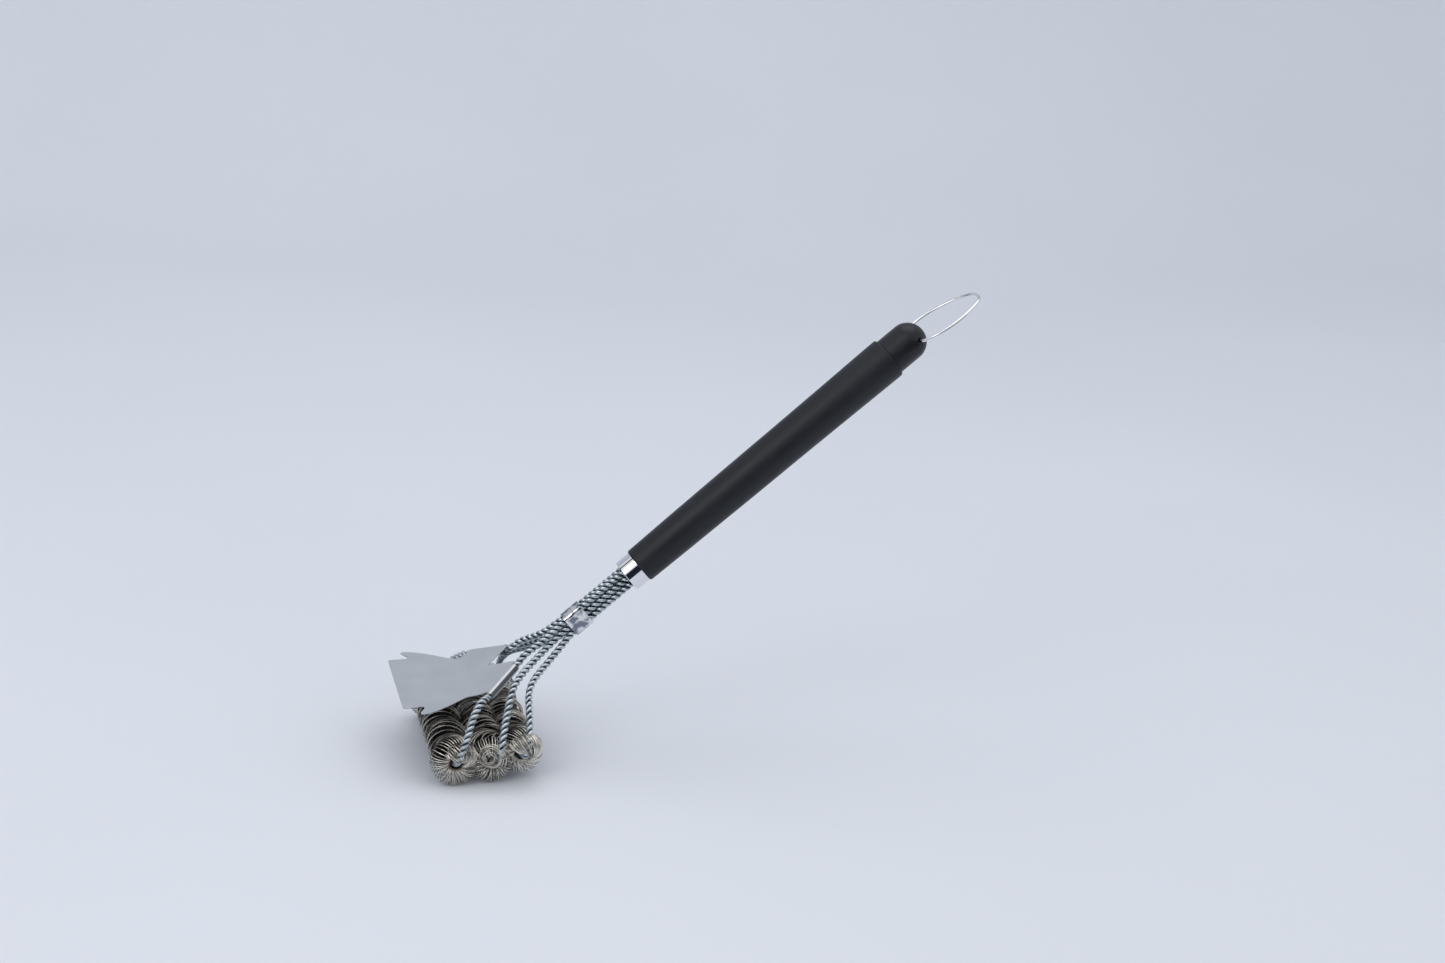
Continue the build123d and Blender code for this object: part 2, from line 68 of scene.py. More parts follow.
# Each coil winds round a rod at (x, z). Stations of its near end, cut end first:
# angle round the rod, distance from it, how far outside ring_y, loop radius, spacing.
# "ring" is the end turn: first and last angle, first and last distance outside ring_y.
# "lie" tips the end loops over, "tilt" (degrees) scatters the loops, "shrink" makes
# every other body loop smaller and "lean" shears the body loops in Y.
COILS = {
    # the cut end stands out over the hole
    "front": dict(
        x=2.4, z=15.0, ring_y=51.9, ring_rho=8.2, ring_r=6.75, body_r=12.1, spacing=1.75,
        lie=0.18, tilt=1.6, shrink=1.7, lean=-0.10, seed=11,
        tip=[(124, 6.6, 7.4, 4.7, 1.2), (104, 7.2, 7.0, 5.2, 1.2), (80, 8.4, 5.4, 5.8, 1.1),
             (50, 8.8, 2.4, 6.4, 1.0), (30, 8.4, 0.8, 6.7, RING_SPACING)],
        ring=(16, -222, 0, -1.8),
        lead=[(-246, 7.4, -4.0, 7.6, 0.8), (-272, 5.4, -6.0, 9.4, 0.8),
              (-296, 3.2, -8.0, 11.0, 1.0)]),
    # the cut end faces outwards beside the rod
    "middle": dict(
        x=25.4, z=15.2, ring_y=50.5, ring_rho=8.1, ring_r=6.75, body_r=12.0, spacing=1.2,
        lie=0.0, tilt=7.5, shrink=1.0, lean=-0.10, seed=23,
        tip=[(118, 6.4, 11.4, 1.6, 0.62), (118, 6.4, 10.4, 3.6, 0.62), (118, 6.4, 9.4, 5.6, 0.62),
             (116, 6.3, 8.4, 7.3, 0.8), (108, 5.8, 6.6, 7.3, 1.1), (70, 4.2, 5.0, 6.9, 1.1),
             (34, 5.6, 4.4, 6.6, 1.1), (32, 7.8, 2.6, 6.6, 1.0), (48, 8.1, 1.0, 6.7, RING_SPACING)],
        ring=(66, 352, 0.2, -2.2),
        lead=[(376, 7.4, -4.2, 7.6, 0.8), (402, 5.4, -6.0, 9.4, 0.8),
              (426, 3.2, -8.0, 11.0, 0.9)]),
    # the last turn rides over the rod where the rod bends in
    "rear": dict(
        x=43.4, z=18.3, ring_y=47.2, ring_rho=7.8, ring_r=6.35, body_r=11.4, spacing=1.15,
        lie=0.45, tilt=8.5, shrink=0.8, lean=-0.05, seed=37,
        tip=[(124, 8.4, 11.0, 5.0, 0.72), (100, 9.2, 11.8, 5.5, 0.68), (74, 9.8, 11.4, 5.9, 0.66),
             (48, 9.4, 8.0, 6.1, 0.75), (20, 8.2, 2.4, 6.3, RING_SPACING)],
        ring=(2, -222, 0, -1.8),
        lead=[(-246, 7.0, -4.0, 7.2, 0.8), (-272, 5.0, -6.0, 9.0, 0.8),
              (-296, 3.0, -8.0, 10.4, 0.9)]),
}

# Straight stretch of the front rods, set square below a sloping line in XZ
HEM_SLOPE = math.radians(29.2)
HEM_DROP = 2.95
HEM_DX, HEM_DZ = math.sin(HEM_SLOPE) * HEM_DROP, -math.cos(HEM_SLOPE) * HEM_DROP
HEM_LOW = (22.67 + HEM_DX, 35.94, 52.79 + HEM_DZ)
HEM_HIGH = (43.27 + HEM_DX, 14.54, 64.30 + HEM_DZ)


def hem_at(f, drop=0.0):
    """Point a fraction f of the way up the straight stretch, lowered by drop."""
    x, y, z = (low + (high - low) * f for low, high in zip(HEM_LOW, HEM_HIGH))
    return x, y, z - drop


# Rod centre lines from the handle down to the coil: x, distance from Y = 0, z
FRONT_TOP = [
    (71.6, 3.4, 81.9), (66.0, 4.7, 77.0), (60.2, 7.3, 73.0), (54.6, 9.7, 70.2),
    (50.0, 11.4, 67.3), *(hem_at(f) for f in (1.07, 1.0, 0.75, 0.5, 0.25, 0.07)),
    hem_at(-0.03, drop=0.15)]
# "half" is the half length of the straight part in the coil, "lay" the length of one
# twist, "phase" (radians) where the twist starts, "layer" the place in the bundle
RODS = {
    "front": dict(
        layer=1, half=52.0, lay=7.7, phase=0.4,
        near=FRONT_TOP + [
            (21.2, 40.1, 50.4), (18.8, 42.6, 50.1), (16.6, 45.2, 48.2), (12.4, 51.0, 43.0),
            (8.4, 58.3, 33.5), (5.8, 60.8, 26.9), (3.9, 61.0, 21.5), (2.9, 58.4, 16.9)],
        far=FRONT_TOP + [
            (21.2, 39.8, 49.2), (18.4, 43.2, 46.2), (14.2, 48.8, 41.4), (9.0, 57.3, 32.8),
            (6.0, 60.8, 26.6), (3.9, 61.0, 21.5), (2.9, 58.4, 16.9)]),
    "middle": dict(
        layer=0, half=51.0, lay=8.2, phase=2.2,
        near=[
            (74.0, 3.2, 77.3), (66.0, 6.2, 70.3), (57.3, 13.0, 65.0), (48.3, 21.6, 60.2),
            (41.4, 29.8, 55.3), (37.9, 36.0, 49.9), (35.4, 42.5, 43.4), (32.6, 50.0, 37.0),
            (30.6, 56.8, 30.5), (29.3, 60.0, 25.2), (27.6, 58.2, 19.6)],
        far=[
            (74.1, 3.2, 77.4), (66.1, 6.5, 70.8), (58.0, 12.6, 66.2), (50.0, 19.8, 61.6),
            (43.6, 27.8, 56.1), (39.2, 34.7, 49.8), (36.2, 41.9, 43.3), (33.0, 50.0, 36.8),
            (30.8, 56.8, 30.3), (29.3, 60.0, 25.0), (27.6, 58.2, 19.6)]),
    "rear": dict(
        layer=-1, half=47.6, lay=8.0, phase=4.1,
        near=[
            (76.2, 5.8, 72.4), (66.4, 12.9, 63.9), (59.2, 19.1, 58.9), (53.2, 25.9, 54.9),
            (50.0, 32.0, 49.4), (48.8, 43.4, 43.0), (47.9, 52.6, 33.8), (47.0, 58.0, 27.4),
            (45.9, 59.6, 23.4), (44.7, 58.2, 19.7)],
        far=[
            (76.0, 5.6, 72.7), (65.4, 12.4, 65.2), (56.0, 20.0, 60.1), (48.6, 27.6, 55.2),
            (45.4, 32.8, 49.6), (45.6, 43.0, 43.2), (46.4, 52.4, 33.6), (46.6, 58.0, 27.4),
            (45.8, 59.6, 23.4), (44.7, 58.2, 19.7)]),
}


# ------------------------------------------------------------ lines and tubes
def unit(values):
    return np.clip(values, 0, 1)


def lengths(points):
    """Distance travelled along the line at each point; x, y, z are the first columns."""
    steps = np.linalg.norm(np.diff(points[:, :3], axis=0), axis=1)
    return np.concatenate([[0], np.cumsum(steps)])


def sample(at, known, table):
    """Interpolate every column of the table at new places."""
    return np.stack([np.interp(at, known, table[:, i]) for i in range(table.shape[1])], axis=1)


def resample(points, count):
    travelled = lengths(points)
    return sample(np.linspace(0, travelled[-1], count), travelled, points)


def cut_corners(points):
    """Round a polyline by cutting its corners four times over."""
    points = np.asarray(points, float)
    for _ in range(4):
        cut = np.empty((2 * (len(points) - 1), points.shape[1]))
        cut[0::2] = points[:-1] * 0.75 + points[1:] * 0.25
        cut[1::2] = points[:-1] * 0.25 + points[1:] * 0.75
        points = np.vstack([points[:1], cut, points[-1:]])
    return points


def pad_ends(values, count=2):
    """Repeat the first and last entry; two match the tip rings of a tube."""
    return np.concatenate([np.repeat(values[:1], count, axis=0), values,
                           np.repeat(values[-1:], count, axis=0)])


def transport(points):
    """Tangents and two side vectors carried along a line without needless turning."""
    tangent = np.gradient(points, axis=0)
    tangent /= np.linalg.norm(tangent, axis=1)[:, None]
    side = np.zeros_like(points)
    start = np.array((0.0, 0.0, 1.0) if abs(tangent[0][2]) < 0.9 else (1.0, 0.0, 0.0))
    start = start - tangent[0] * start.dot(tangent[0])
    side[0] = start / np.linalg.norm(start)
    for i in range(1, len(points)):
        turned = side[i - 1] - tangent[i] * side[i - 1].dot(tangent[i])
        side[i] = turned / math.sqrt(turned.dot(turned))
    return tangent, side, np.cross(tangent, side)


def around(angle, side, other):
    """Unit vectors at an angle round a line, in the plane of its side vectors."""
    return np.cos(angle)[..., None] * side + np.sin(angle)[..., None] * other


def tube(points, radius, sides):
    """Vertices and faces of a round wire; two extra rings round off each tip."""
    tangent, side, other = transport(points)
    first, last = tangent[0] * radius, tangent[-1] * radius
    points = np.vstack([points[0] - first * 0.75, points[0] - first * 0.4, points,
                        points[-1] + last * 0.4, points[-1] + last * 0.75])
    radii = np.full(len(points), float(radius))
    radii[[0, -1]] *= 0.62
    radii[[1, -2]] *= 0.92
    angle = np.arange(sides) * 2 * math.pi / sides
    ring = around(angle[None, :], pad_ends(side)[:, None, :], pad_ends(other)[:, None, :])
    verts = (points[:, None, :] + ring * radii[:, None, None]).reshape(-1, 3)
    end = (len(points) - 1) * sides
    i = np.arange(len(points) - 1)[:, None] * sides
    j = np.arange(sides)[None, :]
    beside = (j + 1) % sides
    quads = np.stack([i + j, i + beside, i + sides + beside, i + sides + j], axis=-1)
    faces = quads.reshape(-1, 4).tolist()
    faces.append(list(range(sides))[::-1])
    faces.append([end + k for k in range(sides)])
    return verts, faces


def add_mesh(name, verts, faces, smooth=True):
    """Make a mesh object from vertices in mm."""
    mesh = bpy.data.meshes.new(name)
    mesh.from_pydata((np.asarray(verts) * MM).tolist(), [], faces)
    mesh.validate()
    if smooth:
        mesh.polygons.foreach_set("use_smooth", [True] * len(mesh.polygons))
    ob = bpy.data.objects.new(name, mesh)
    bpy.context.scene.collection.objects.link(ob)
    return ob


def add_wire(name, verts, faces, painted_shading, look, replaced):
    """Add brush wire; the per-vertex value (0..1) is painted light and shade: dark where the wire
    lies hidden, bright where it lies open.
    """
    ob = add_mesh(name, verts, faces)
    attribute = ob.data.attributes.new("painted_shading", "FLOAT", "POINT")
    attribute.data.foreach_set("value", np.ascontiguousarray(painted_shading, dtype=np.float32))
    ob.data.materials.append(look.owner)
    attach(ob, "brush")
    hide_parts(replaced)


# ----------------------------------------------------------------- materials
def scaled(color, factor):
    return tuple(c * factor for c in color)


class Look:
    """Node tree of a material or world: a shader wired to the output."""

    def __init__(self, owner, shader="BsdfPrincipled", output="OutputMaterial"):
        owner.use_nodes = True
        self.owner, self.tree = owner, owner.node_tree
        self.tree.nodes.clear()
        out = self.tree.nodes.new("ShaderNode" + output)
        self.shader = self.tree.nodes.new("ShaderNode" + shader)
        self.put(out.inputs[0], self.shader.outputs[0])

    def put(self, socket, value):
        """Link a socket to an output, or give it a plain value."""
        if isinstance(value, bpy.types.NodeSocket):
            self.tree.links.new(value, socket)
        else:
            socket.default_value = value

    def set(self, name, value):
        self.put(self.shader.inputs[name], value)

    def node(self, kind, inputs, output=0, **settings):
        """Add a node and return one of its outputs."""
        made = self.tree.nodes.new("ShaderNode" + kind)
        for key, value in settings.items():
            setattr(made, key, value)
        for key, value in inputs.items():
            self.put(made.inputs[key], value)
        return made.outputs[output]

    def coords(self, scale=(1, 1, 1)):
        place = self.node("TexCoord", {}, "Object")
        return self.node("Mapping", {"Scale": scale, "Vector": place})

    def noise(self, where, scale, detail=3.0, rough=0.55):
        return self.node("TexNoise", {"Scale": scale, "Detail": detail, "Roughness": rough,
                                      "Vector": where}, "Fac")

    def ramp(self, factor, stops):
        made = self.tree.nodes.new("ShaderNodeValToRGB")
        elements = made.color_ramp.elements
        for element, (position, color) in ((elements[0], stops[0]), (elements[1], stops[-1])):
            element.position, element.color = position, (*color, 1)
        for position, color in stops[1:-1]:
            elements.new(position).color = (*color, 1)
        self.put(made.inputs[0], factor)
        return made.outputs[0]

    def remap(self, value, low, high, start, end):
        """Map start..end to low..high."""
        return self.node("MapRange", {"From Min": start, "From Max": end,
                                      "To Min": low, "To Max": high, "Value": value})

    def bump(self, height, strength, distance, over=None):
        inputs = {"Strength": strength, "Distance": distance, "Height": height}
        if over is not None:
            inputs["Normal"] = over
        return self.node("Bump", inputs)

    def multiply_base(self, source, tone):
        self.set("Base Color", self.node("Mix", {0: 1.0, 6: source, 7: tone}, 2,
                                         data_type="RGBA", blend_type="MULTIPLY"))

    def base_source(self):
        return self.shader.inputs["Base Color"].links[0].from_socket


def principled(name, base, metallic, roughness):
    look = Look(bpy.data.materials.new(name))
    look.set("Base Color", (*base, 1))
    look.set("Metallic", metallic)
    look.set("Roughness", roughness)
    return look


def plastic(name, base, rough, grain):
    """Satin plastic with a fine grain; grain is the bump strength."""
    look = principled(name, base, metallic=0.0, roughness=rough)
    where = look.coords()
    fine = look.noise(where, scale=2600, detail=2.0)
    cloud = look.noise(where, scale=22)
    look.set("Base Color", look.ramp(cloud, [(0.3, scaled(base, 0.82)), (0.7, scaled(base, 1.22))]))
    look.set("Roughness", look.remap(cloud, low=rough - 0.05, high=rough + 0.07, start=0.3, end=0.7))
    look.set("Normal", look.bump(fine, strength=grain, distance=0.00008))
    look.set("Specular IOR Level", 0.32)
    return look


def chrome(name, base, rough):
    """Bright metal, faintly smeared and uneven."""
    look = principled(name, base, metallic=1.0, roughness=rough)
    where = look.coords()
    smear = look.noise(where, scale=90, detail=4.0)
    look.set("Roughness", look.remap(smear, low=rough * 0.7, high=rough * 2.0, start=0.35, end=0.75))
    look.set("Base Color", look.ramp(smear, [(0.25, scaled(base, 0.93)), (0.75, base)]))
    waves = look.noise(where, scale=260, detail=2.0)
    look.set("Normal", look.bump(waves, strength=0.05, distance=0.0002))
    return look


def wire_metal(name, stops, rough, patches, fine):
    """Drawn wire: base colour is painted light and shade, running from dark where the wire lies
    hidden to bright where it lies open, broken up by noise.
    """
    look = principled(name, stops[-1][1], metallic=1.0, roughness=rough)
    where = look.coords()
    patch = look.noise(where, scale=patches, detail=4.0, rough=0.6)
    grain = look.noise(where, scale=fine, detail=2.0, rough=0.5)
    # painted light and shade, stored per vertex
    painted_shading = look.node("Attribute", {}, "Fac", attribute_name="painted_shading")
    shift = look.remap(patch, low=-0.10, high=0.10, start=0.3, end=0.7)
    tone = look.node("Math", {0: painted_shading, 1: shift}, operation="ADD")
    look.set("Base Color", look.ramp(tone, stops))
    look.set("Roughness", look.remap(grain, low=rough - 0.08, high=rough + 0.12, start=0.3, end=0.7))
    look.set("Normal", look.bump(grain, strength=0.12, distance=0.0001))
    return look


def sheet(name, base, rough, grain_scale, dents, dent_strength):
    """Sheet metal: fine grain over shallow dents; dents is their noise scale."""
    look = principled(name, base, metallic=1.0, roughness=rough)
    where = look.coords()
    grain = look.noise(look.coords(grain_scale), scale=1.0, detail=2.0)
    cloud = look.noise(where, scale=45)
    look.set("Base Color", look.ramp(cloud, [(0.3, scaled(base, 0.90)), (0.7, base)]))
    look.set("Roughness", look.remap(grain, low=rough - 0.05, high=rough + 0.06, start=0.3, end=0.7))
    depth = 0.0015 if name == "scraper_sheet" else 0.0016
    big = look.bump(look.noise(where, scale=dents, detail=1.5), dent_strength, depth)
    look.set("Normal", look.bump(grain, strength=0.06, distance=0.00005, over=big))
    return look


def paint_reflections_on_rolled_edges(look):
    """Painted reflection: surfaces turned away from the flat of the plate are painted in dark bands
    as if mirroring the dark of the head, with painted white highlight lines.
    """
    plate_normal = (-0.09, -0.40, 0.91)   # of both halves, with Y folded to one side
    white, dark = (1, 1, 1), (0.17, 0.18, 0.20)
    middling, pale = (0.52, 0.54, 0.56), (0.70, 0.71, 0.72)
    normal = look.node("NewGeometry", {}, "Normal")
    split = look.node("SeparateXYZ", {0: normal}).node
    folded_y = look.node("Math", {0: split.outputs["Y"]}, operation="ABSOLUTE")
    folded = look.node("CombineXYZ", {0: split.outputs["X"], 1: folded_y, 2: split.outputs["Z"]})
    facing = look.node("VectorMath", {0: folded, 1: plate_normal}, "Value",
                       operation="DOT_PRODUCT")
    half = look.node("Math", {0: facing, 1: 0.5, 2: 0.5}, operation="MULTIPLY_ADD")
    # painted highlights (white) and painted dark reflection bands, picked by how the normal turns
    # from the plate
    tone = look.ramp(half, [(0.10, white), (0.20, middling), (0.38, middling), (0.46, dark),
                            (0.70, dark), (0.78, pale), (0.88, pale), (0.905, white)])
    look.multiply_base(look.base_source(), tone)


def paint_reflection_blotches(look, scale, tone):
    """Hand-bent bright sheet: painted dull bluish reflection patches, as of a dark studio, between
    the bright ones.
    """
    patch = look.noise(look.coords(), scale=scale, detail=2.0)
    look.multiply_base(look.base_source(), look.ramp(patch, [(0.43, tone), (0.54, (1, 1, 1))]))


GRIP = plastic("grip_satin_black", (0.0095, 0.0112, 0.0155), rough=0.44, grain=0.30)
CAP = plastic("cap_satin_black", (0.0092, 0.0106, 0.0145), rough=0.40, grain=0.22)
INSERT = plastic("insert_black", (0.022, 0.022, 0.024), rough=0.6, grain=0.4)
COLLAR = chrome("collar_chrome", (0.86, 0.87, 0.89), rough=0.06)
LOOP = chrome("loop_chrome", (0.80, 0.81, 0.83), rough=0.09)
# rod stops: the dark low end is painted shade in the groove between strands, the pale top painted
# light on the outward side
ROD = wire_metal("rod_wire_steel", [
    (0.45, (0.018, 0.022, 0.030)), (0.72, (0.15, 0.18, 0.21)),
    (0.88, (0.42, 0.475, 0.51)), (1.0, (0.60, 0.66, 0.70))], rough=0.34, patches=140, fine=1500)
# coil stops: the dark ones are painted shade for the hidden inner wire, the top one a painted
# highlight for the lit outer arcs
COIL = wire_metal("coil_wire_steel", [
    (0.0, (0.014, 0.013, 0.011)), (0.45, (0.045, 0.040, 0.034)),
    (0.74, (0.26, 0.24, 0.205)), (0.98, (0.91, 0.875, 0.80))], rough=0.28, patches=160, fine=1800)
PLATE = sheet("scraper_sheet", (0.690, 0.698, 0.702), rough=0.34, grain_scale=(60, 2400, 2400),
              dents=28, dent_strength=0.10)
paint_reflections_on_rolled_edges(PLATE)
CLIP = sheet("clip_sheet", (0.80, 0.80, 0.82), rough=0.20, grain_scale=(400, 400, 400),
             dents=120, dent_strength=0.8)
paint_reflection_blotches(CLIP, scale=150, tone=(0.26, 0.29, 0.34))

for piece, look in (("grip_sleeve", GRIP), ("end_cap", CAP), ("bundle_plug", INSERT),
                    ("handle_tube", COLLAR), ("hanging_loop", LOOP), ("scraper_plate", PLATE),
                    ("bundle_clip", CLIP), ("crimp_band", CLIP)):
    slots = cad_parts[piece].data.materials
    slots.clear()
    slots.append(look.owner)


# --------------------------------------------------------------- twisted rods
def bundle(layer, side):
    """Points of one rod in the handle, from the top down."""
    cos, sin = math.cos(HANDLE_ANGLE), math.sin(HANDLE_ANGLE)
    across = layer * LAYER
    return [(HANDLE_X + cos * along - sin * across, side * COLUMN,
             HANDLE_Z + sin * along + cos * across) for along in BUNDLE_STATIONS]


def rod_path(rod, coil):
    """Down the near side, through the coil, and back up the far side."""
    near = [(x, -y, z) for x, y, z in rod["near"]]
    through = [(coil["x"], rod["half"] * f, coil["z"])
               for f in (-1, -0.66, -0.33, 0, 0.33, 0.66, 1)]
    return (bundle(rod["layer"], -1) + near + through
            + rod["far"][::-1] + bundle(rod["layer"], 1)[::-1])


def build_rod(key, rod):
    line = cut_corners(rod_path(rod, COILS[key]))
    line = resample(line, int(round(lengths(line)[-1] / ROD_STEP)) + 1)
    _, side, other = transport(line)
    twist = 2 * math.pi * lengths(line) / rod["lay"] + rod["phase"]
    for letter, offset in (("a", 0.0), ("b", math.pi)):
        strand = line + ROD_WIRE_R * around(twist + offset, side, other)
        verts, faces = tube(strand, ROD_WIRE_R, ROD_SIDES)
        # painted shade: the side of each strand in the groove is painted dark, the outward side
        # painted lit
        rings = verts.reshape(-1, ROD_SIDES, 3) - pad_ends(line)[:, None, :]
        away = np.linalg.norm(rings, axis=2) / (2 * ROD_WIRE_R)
        add_wire(f"{key}_frame_twisted_wire_{letter}", verts, faces, unit(away.reshape(-1)),
                 ROD, f"{key}_frame_wire_{letter}")


for key, rod in RODS.items():
    build_rod(key, rod)


# --------------------------------------------------------------------- coils
def wind(coil, stations, seed, segments, tilt, jitter, shrink=0.0, lean=0.0):
    """A spring wound along a run of stations (angle round the rod, distance from
    it, y, loop radius, loop spacing): the loops stand square to the run."""
    rng = np.random.default_rng(seed)
    run = []
    for phi, rho, y, radius, spacing in stations:
        a = math.radians(phi)
        run.append((coil["x"] + rho * math.cos(a), y, coil["z"] + rho * math.sin(a),
                    radius, spacing))
    run = resample(cut_corners(run), RUN_POINTS)
    # soften the run so that the loops fan out evenly round its bends
    padded = pad_ends(run, RUN_SOFTENING // 2)
    weights = np.ones(RUN_SOFTENING) / RUN_SOFTENING
    run = np.stack([np.convolve(padded[:, i], weights, mode="valid") for i in range(5)], axis=1)
    spacing = (run[1:, 4] + run[:-1, 4]) / 2
    turns = np.concatenate([[0], np.cumsum(np.diff(lengths(run)) / spacing)])
    loops = int(turns[-1])
    turn = np.arange(loops * segments + 1) / segments
    index = np.arange(len(run))
    at = np.interp(turn, turns, index)

    def wobble(scale):
        """Random values, one per loop, joined by straight lines."""
        values = rng.normal(0, scale, loops + 4)
        return np.interp(turn, np.arange(len(values)), values)

    tangent, side, other = (sample(at, index, vectors) for vectors in transport(run[:, :3]))
    centre = sample(at, index, run[:, :3])
    loop_r = np.interp(at, index, run[:, 3])
    angle = 2 * math.pi * turn
    body = loop_r > 9.5
    alternate = 0.5 + 0.5 * np.cos(math.pi * np.floor(turn + 0.25))
    radius = loop_r * (1 + wobble(jitter * 0.5)) - shrink * body * alternate
    tilt_a, tilt_b = wobble(tilt), wobble(tilt)
    spread = np.where(body, 1.0, 0.35)    # end loops lie more evenly
    off = radius * (np.tan(tilt_a) * np.cos(angle) + np.tan(tilt_b) * np.sin(angle)) * spread
    wire = centre + radius[:, None] * around(angle, side, other) + off[:, None] * tangent
    wire[:, 1] += lean * body * (wire[:, 0] - coil["x"])
    # the loops of an end turn lie over like a swirl, all one way round the rod
    out_x, out_z = centre[:, 0] - coil["x"], centre[:, 2] - coil["z"]
    rho = np.maximum(np.hypot(out_x, out_z), 1e-6)
    out_x, out_z = out_x / rho, out_z / rho
    outward = (wire[:, 0] - centre[:, 0]) * out_x + (wire[:, 2] - centre[:, 2]) * out_z
    lie = coil["lie"] * unit((9.0 - loop_r) / 1.2) * unit((loop_r - 3.0) / 2.0) * unit(rho / 7.0)
    wire[:, 0] -= lie * outward * out_z
    wire[:, 2] += lie * outward * out_x
    shake = np.stack([wobble(jitter * 3), np.zeros(len(turn)), wobble(jitter * 3)], axis=1)
    wire += shake * spread[:, None]
    wire[:, 2] = np.maximum(wire[:, 2], COIL_WIRE_R + FLOOR_GAP)
    return wire, centre, loop_r


def coil_painted_shading(coil, reach, wire, centre, loop_r):
    """Painted light and shade for each point of a coil's wire: darker deep inside, brighter where it
    lies open.
    """
    out = np.stack([wire[:, 0] - coil["x"], np.zeros(len(wire)), wire[:, 2] - coil["z"]], axis=1)
    distance = np.linalg.norm(out, axis=1)
    # painted shade: wire deep inside the coil, near the rod, is painted darker than the outer wire
    radial = unit((distance / reach - 0.55) / 0.45)
    # in the end turns the side facing out or sideways is painted lit, the side turned in painted
    # shaded
    relative = (wire - centre) / np.maximum(loop_r, 1.0)[:, None]
    outward = out / np.maximum(distance, 1e-6)[:, None]
    facing = relative[:, 1] * np.sign(centre[:, 1]) + 0.55 * (relative * outward).sum(axis=1)
    facing = unit((facing + 0.28) / 1.08)
    facing = facing * facing * (3 - 2 * facing)
    end_y = np.abs(centre[:, 1])
    # painted light: loops of the cut end standing out past the end turn are painted lit
    facing = np.maximum(facing, 0.9 * (end_y > coil["ring_y"] + 5.5))
    in_end = unit((9.0 - loop_r) / 1.6) * unit((end_y - coil["ring_y"] + 8.0) / 4.0)
    # some loops of an end turn are a little darker than their neighbours
    loop = np.arange(len(wire)) // OUTER_SEGMENTS
    low = 0.80 + 0.20 * (np.sin(loop * 2.3) > -0.2)
    return radial * (1 - in_end) + facing * low * in_end


def near_end(coil):
    """Stations of the near end: cut end, end turn, lead into the body."""
    def placed(rows):
        return [(phi, rho, -(coil["ring_y"] + out), r, gap) for phi, rho, out, r, gap in rows]

    phi_0, phi_1, out_0, out_1 = coil["ring"]
    y_0, y_1 = -(coil["ring_y"] + out_0), -(coil["ring_y"] + out_1)
    steps = int(abs(phi_1 - phi_0) / 18)
    ring = [(phi_0 + (phi_1 - phi_0) * i / steps, coil["ring_rho"],
             y_0 + (y_1 - y_0) * i / steps, coil["ring_r"], RING_SPACING)
            for i in range(steps + 1)]
    return placed(coil["tip"]) + ring + placed(coil["lead"])


def hoops(phi, half, rho, radius, spacing, lay, hand):
    """Stations of a run from -half to half in Y, turning once round the rod per lay."""
    span = 2 * half
    steps = int(span / 4)
    return [(phi + hand * 360 * span * i / steps / lay, rho, -half + span * i / steps,
             radius, spacing) for i in range(steps + 1)]


def build_coil(key, coil):
    ring_y, seed = coil["ring_y"], coil["seed"]
    reach = coil["body_r"] + BODY_RHO
    near = near_end(coil)
    phi_end = near[-1][0]
    hand = 1 if phi_end > near[0][0] else -1
    body = hoops(phi_end + hand * JOIN_TURN, ring_y - BODY_LEAD, BODY_RHO, coil["body_r"],
                 coil["spacing"], BODY_LAY, hand)
    # the far end picks up where the body's own turning has got to
    turn = round((body[-1][0] + hand * JOIN_TURN - phi_end) / 360) * 360
    far = [(phi + turn, rho, -y, r, gap) for phi, rho, y, r, gap in reversed(near)]
    inner = hoops(40, ring_y - 3.0, rho=3.9, radius=reach - 6.2, spacing=0.85, lay=10.5,
                  hand=hand)
    fill = hoops(200, ring_y - 5.0, rho=4.6, radius=reach - 7.0, spacing=1.3, lay=12.5,
                 hand=-hand)
    wires = (
        wind(coil, near + body + far, seed, OUTER_SEGMENTS, tilt=math.radians(coil["tilt"]),
             jitter=0.012, shrink=coil["shrink"], lean=coil["lean"]),
        wind(coil, inner, seed + 1, INNER_SEGMENTS, tilt=math.radians(9), jitter=0.03),
        wind(coil, fill, seed + 2, INNER_SEGMENTS, tilt=math.radians(12), jitter=0.03))
    verts, faces, painted_shading, base = [], [], [], 0
    for wire, centre, loop_r in wires:
        wire_verts, wire_faces = tube(wire, COIL_WIRE_R, COIL_SIDES)
        shade = coil_painted_shading(coil, reach, wire, centre, loop_r)
        verts.append(wire_verts)
        painted_shading.append(np.repeat(pad_ends(shade), COIL_SIDES))
        faces += [[i + base for i in face] for face in wire_faces]
        base += len(wire_verts)
    add_wire(f"{key}_coil_of_wire", np.vstack(verts), faces, np.concatenate(painted_shading),
             COIL, f"{key}_coil")


for key, coil in COILS.items():
    build_coil(key, coil)

# ------------------------------------------------------------ stage (metres)
scene = bpy.context.scene
scene.view_settings.view_transform = "Standard"
scene.view_settings.look = "None"


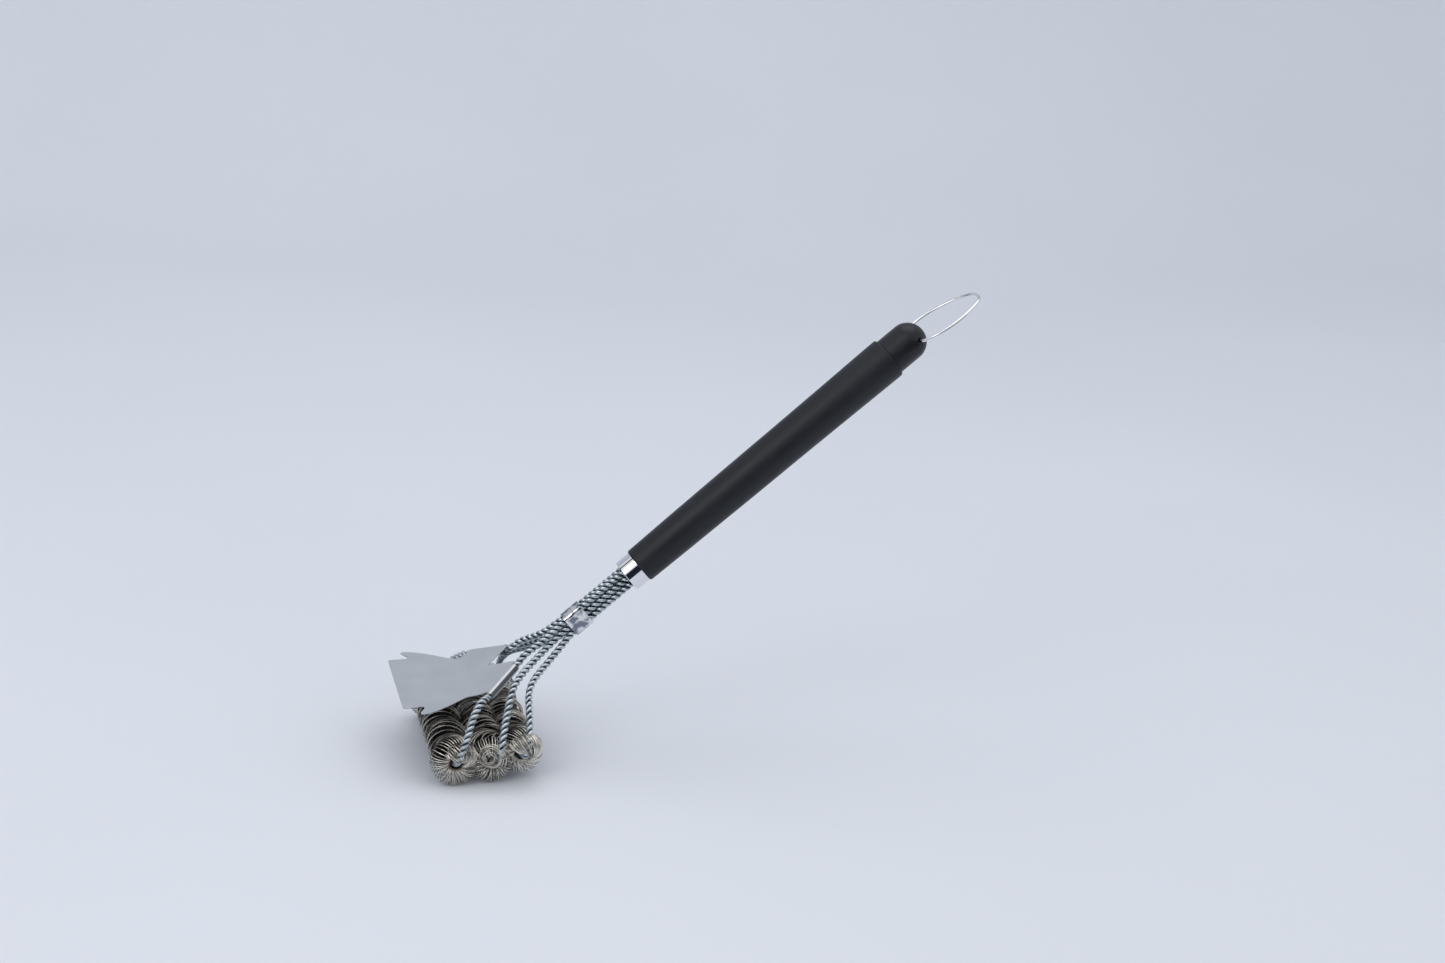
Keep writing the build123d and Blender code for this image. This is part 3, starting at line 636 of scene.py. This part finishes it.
def build_sweep():
    """Paper floor curving up into a wall at the far side."""
    bend_y, bend_r, top = 1.6, 1.2, 5.0
    profile = [(y, 0.0) for y in (-6.0, -3.0, -1.0, 0.0, 0.8, 1.4)]
    for k in range(13):
        a = math.radians(90 * k / 12)
        profile.append((bend_y + bend_r * math.sin(a), bend_r - bend_r * math.cos(a)))
    profile.append((bend_y + bend_r, top))
    columns = (-7.0, -2.0, 0.0, 2.0, 7.0)
    verts = np.array([(x, y, z) for x in columns for y, z in profile]) / MM
    m = len(profile)
    faces = [(i * m + j, (i + 1) * m + j, (i + 1) * m + j + 1, i * m + j + 1)
             for i in range(len(columns) - 1) for j in range(m - 1)]
    ob = add_mesh("studio_sweep", verts, faces)
    look = principled("sweep_paper", (0.695, 0.724, 0.786), metallic=0.0, roughness=0.75)
    cloud = look.noise(look.coords(), scale=1.3, detail=2.0)
    look.set("Base Color", look.ramp(cloud, [(0.3, (0.682, 0.711, 0.773)),
                                             (0.7, (0.708, 0.737, 0.799))]))
    look.set("Specular IOR Level", 0.15)
    ob.data.materials.append(look.owner)


def softbox(name, place, target, size, power):
    light = bpy.data.lights.new(name, "AREA")
    light.shape = "RECTANGLE"
    light.size, light.size_y = size
    light.energy = power
    ob = bpy.data.objects.new(name, light)
    ob.location = place
    ob.rotation_euler = (Vector(target) - Vector(place)).to_track_quat("-Z", "Y").to_euler()
    scene.collection.objects.link(ob)


def dark_card(name, centre, u, v, tone):
    """A flag that only shows in reflections, to give bright metal its dark bands.
    It reaches u and v either way from its centre."""
    c, u, v = (np.array(q) / MM for q in (centre, u, v))
    ob = add_mesh(name, [c - u - v, c + u - v, c + u + v, c - u + v], [[0, 1, 2, 3]],
                  smooth=False)
    look = principled(name + "_felt", tone, metallic=0.0, roughness=0.9)
    cloud = look.noise(look.coords(), scale=2.0)
    look.set("Base Color", look.ramp(cloud, [(0.3, scaled(tone, 0.8)), (0.7, tone)]))
    look.set("Specular IOR Level", 0.0)
    ob.data.materials.append(look.owner)
    for ray in ("camera", "diffuse", "shadow", "transmission"):
        setattr(ob, "visible_" + ray, False)


build_sweep()
softbox("top_softbox", (0.3, 0.5, 2.4), target=(0.1, 0.1, 0.0), size=(2.2, 1.6), power=12)
softbox("left_softbox", (-1.25, -1.15, 1.45), target=(0.1, 0.0, 0.1), size=(1.0, 1.3), power=8.5)
BLUE_BLACK = (0.020, 0.022, 0.034)
for card in (
        ("front_flag", (0.0, -1.65, 0.42), (3.0, 0, 0), (0, 0, 0.50), BLUE_BLACK),
        ("floor_flag", (0.0, -1.75, 0.003), (3.0, 0, 0), (0, 0.85, 0), BLUE_BLACK),
        ("left_flag", (-1.75, 0.30, 0.46), (0, 0.80, 0), (0, 0, 0.45), (0.022, 0.023, 0.030)),
        ("upper_flag", (-1.02, 0.14, 1.25), (0.50, 0, 0.43), (0, 0.12, 0), (0.020, 0.020, 0.024))):
    dark_card(*card)

# a pale room, brighter overhead than at the walls
scene.world = bpy.data.worlds.new("studio_world")
room = Look(scene.world, "Background", "OutputWorld")
direction = room.node("TexCoord", {}, "Generated")
height = room.node("SeparateXYZ", {0: direction}, 2)
room.set("Color", room.ramp(height, [(0.0, (0.74, 0.77, 0.82)), (0.5, (0.90, 0.92, 0.95)),
                                     (1.0, (1.0, 1.0, 1.0))]))
room.set("Strength", 0.85)


# -------------------------------------------------------------------- camera
def build_camera(place, yaw, pitch, roll, lens):
    """Angles in degrees: yaw from +Y towards +X, pitch downwards, roll about the view."""
    data = bpy.data.cameras.new("camera")
    data.sensor_width = 36.0
    data.lens = lens
    data.clip_start, data.clip_end = 0.05, 50
    ob = bpy.data.objects.new("camera", data)
    scene.collection.objects.link(ob)
    yaw, pitch, roll = (math.radians(a) for a in (yaw, pitch, roll))
    right = Vector((math.cos(yaw), -math.sin(yaw), 0))
    level = Vector((math.sin(yaw), math.cos(yaw), 0))
    up = Vector((0, 0, 1))
    ahead = level * math.cos(pitch) - up * math.sin(pitch)
    above = level * math.sin(pitch) + up * math.cos(pitch)
    rows = (right * math.cos(roll) + above * math.sin(roll),
            -right * math.sin(roll) + above * math.cos(roll), -ahead)
    ob.matrix_world = Matrix.Translation(Vector(place)) @ Matrix(rows).transposed().to_4x4()
    scene.camera = ob


build_camera((-0.18237, -1.13046, 0.52196), yaw=17.52, pitch=16.17, roll=4.91, lens=48.182699)
